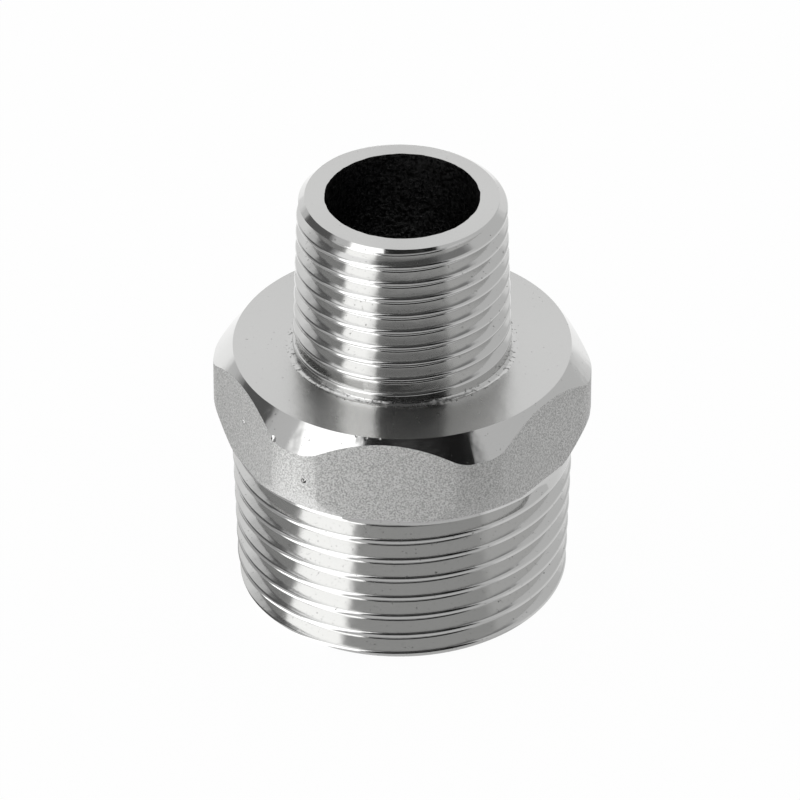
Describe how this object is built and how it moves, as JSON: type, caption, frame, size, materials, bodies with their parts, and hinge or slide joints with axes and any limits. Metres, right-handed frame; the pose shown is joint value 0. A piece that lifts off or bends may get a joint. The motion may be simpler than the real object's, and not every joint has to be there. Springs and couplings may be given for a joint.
{
  "type": "hex reducing nipple",
  "caption": "Reducing pipe nipple with a large and a small tapered male thread either side of a hexagonal wrench collar.",
  "frame": {"origin": "centre of the large end's face, where the axis meets it", "axes": "+Z along the axis, from the large end to the small end; +X through a corner of the hexagon; -Y out of a flat"},
  "size_m": [0.0372, 0.034, 0.0441],
  "materials": {
    "stainless_steel": "machined threads, shoulder and chamfers; fine blasted cast skin on the hexagon; rough cast bore"
  },
  "bodies": {
    "root": {"nipple_body": "stainless_steel"}
  },
  "joints": []
}
